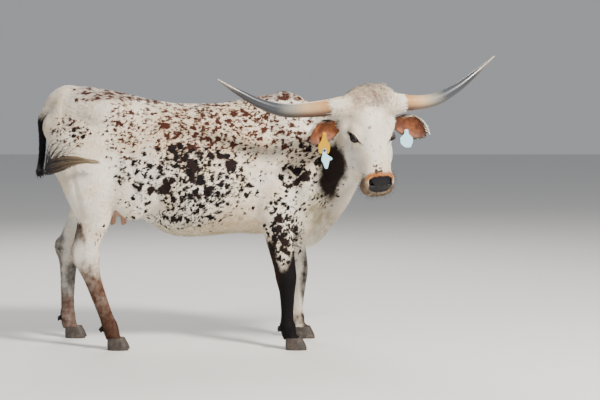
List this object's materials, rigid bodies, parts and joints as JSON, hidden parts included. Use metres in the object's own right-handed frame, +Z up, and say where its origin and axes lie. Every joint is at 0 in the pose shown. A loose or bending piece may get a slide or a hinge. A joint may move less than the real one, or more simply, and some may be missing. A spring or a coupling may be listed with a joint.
{
  "type": "texas longhorn cow",
  "caption": "Life-size longhorn cow standing square-on with the head turned to the right, wide upswept horns, a flicked tail and ear tags; still museum model.",
  "frame": {"origin": "middle of the base, on the floor under the middle of the bounding box", "axes": "+X the way the body faces, +Y the animal's left, +Z up; the head is turned to its right, towards -Y"},
  "size_m": [2.3946, 0.7666, 1.519],
  "materials": {
    "coat": "short matt hair, cream white with dark flecks",
    "horn": "smooth polished horn, cream at the base and slate at the tip",
    "hoof": "dull dark hoof",
    "ear": "short brown hair",
    "eye": "wet and dark",
    "udder": "bare skin",
    "switch": "long coarse hair, olive brown",
    "yellow_tag": "flexible yellow plastic",
    "white_tag": "flexible pale blue plastic",
    "stud": "dark plastic"
  },
  "bodies": {
    "root": {"head": "coat", "neck": "coat", "torso": "coat", "fore_leg_upper_right": "coat", "fore_leg_upper_left": "coat", "fore_leg_lower_right": "coat", "fore_leg_lower_left": "coat", "hind_leg_upper_right": "coat", "hind_leg_upper_left": "coat", "hind_leg_lower_right": "coat", "hind_leg_lower_left": "coat", "tail_upper": "coat", "tail_lower": "coat", "tail_switch": "switch", "udder": "udder", "eye_right": "eye", "eye_left": "eye", "horn_right": "horn", "horn_left": "horn", "ear_right": "ear", "ear_left": "ear", "ear_tag_yellow": "yellow_tag", "ear_tag_white": "white_tag", "ear_tag_blue": "white_tag", "ear_tag_stud": "stud", "fore_hoof_right_inner": "hoof", "fore_hoof_right_outer": "hoof", "fore_hoof_left_inner": "hoof", "fore_hoof_left_outer": "hoof", "hind_hoof_right_inner": "hoof", "hind_hoof_right_outer": "hoof", "hind_hoof_left_inner": "hoof", "hind_hoof_left_outer": "hoof"}
  },
  "joints": []
}
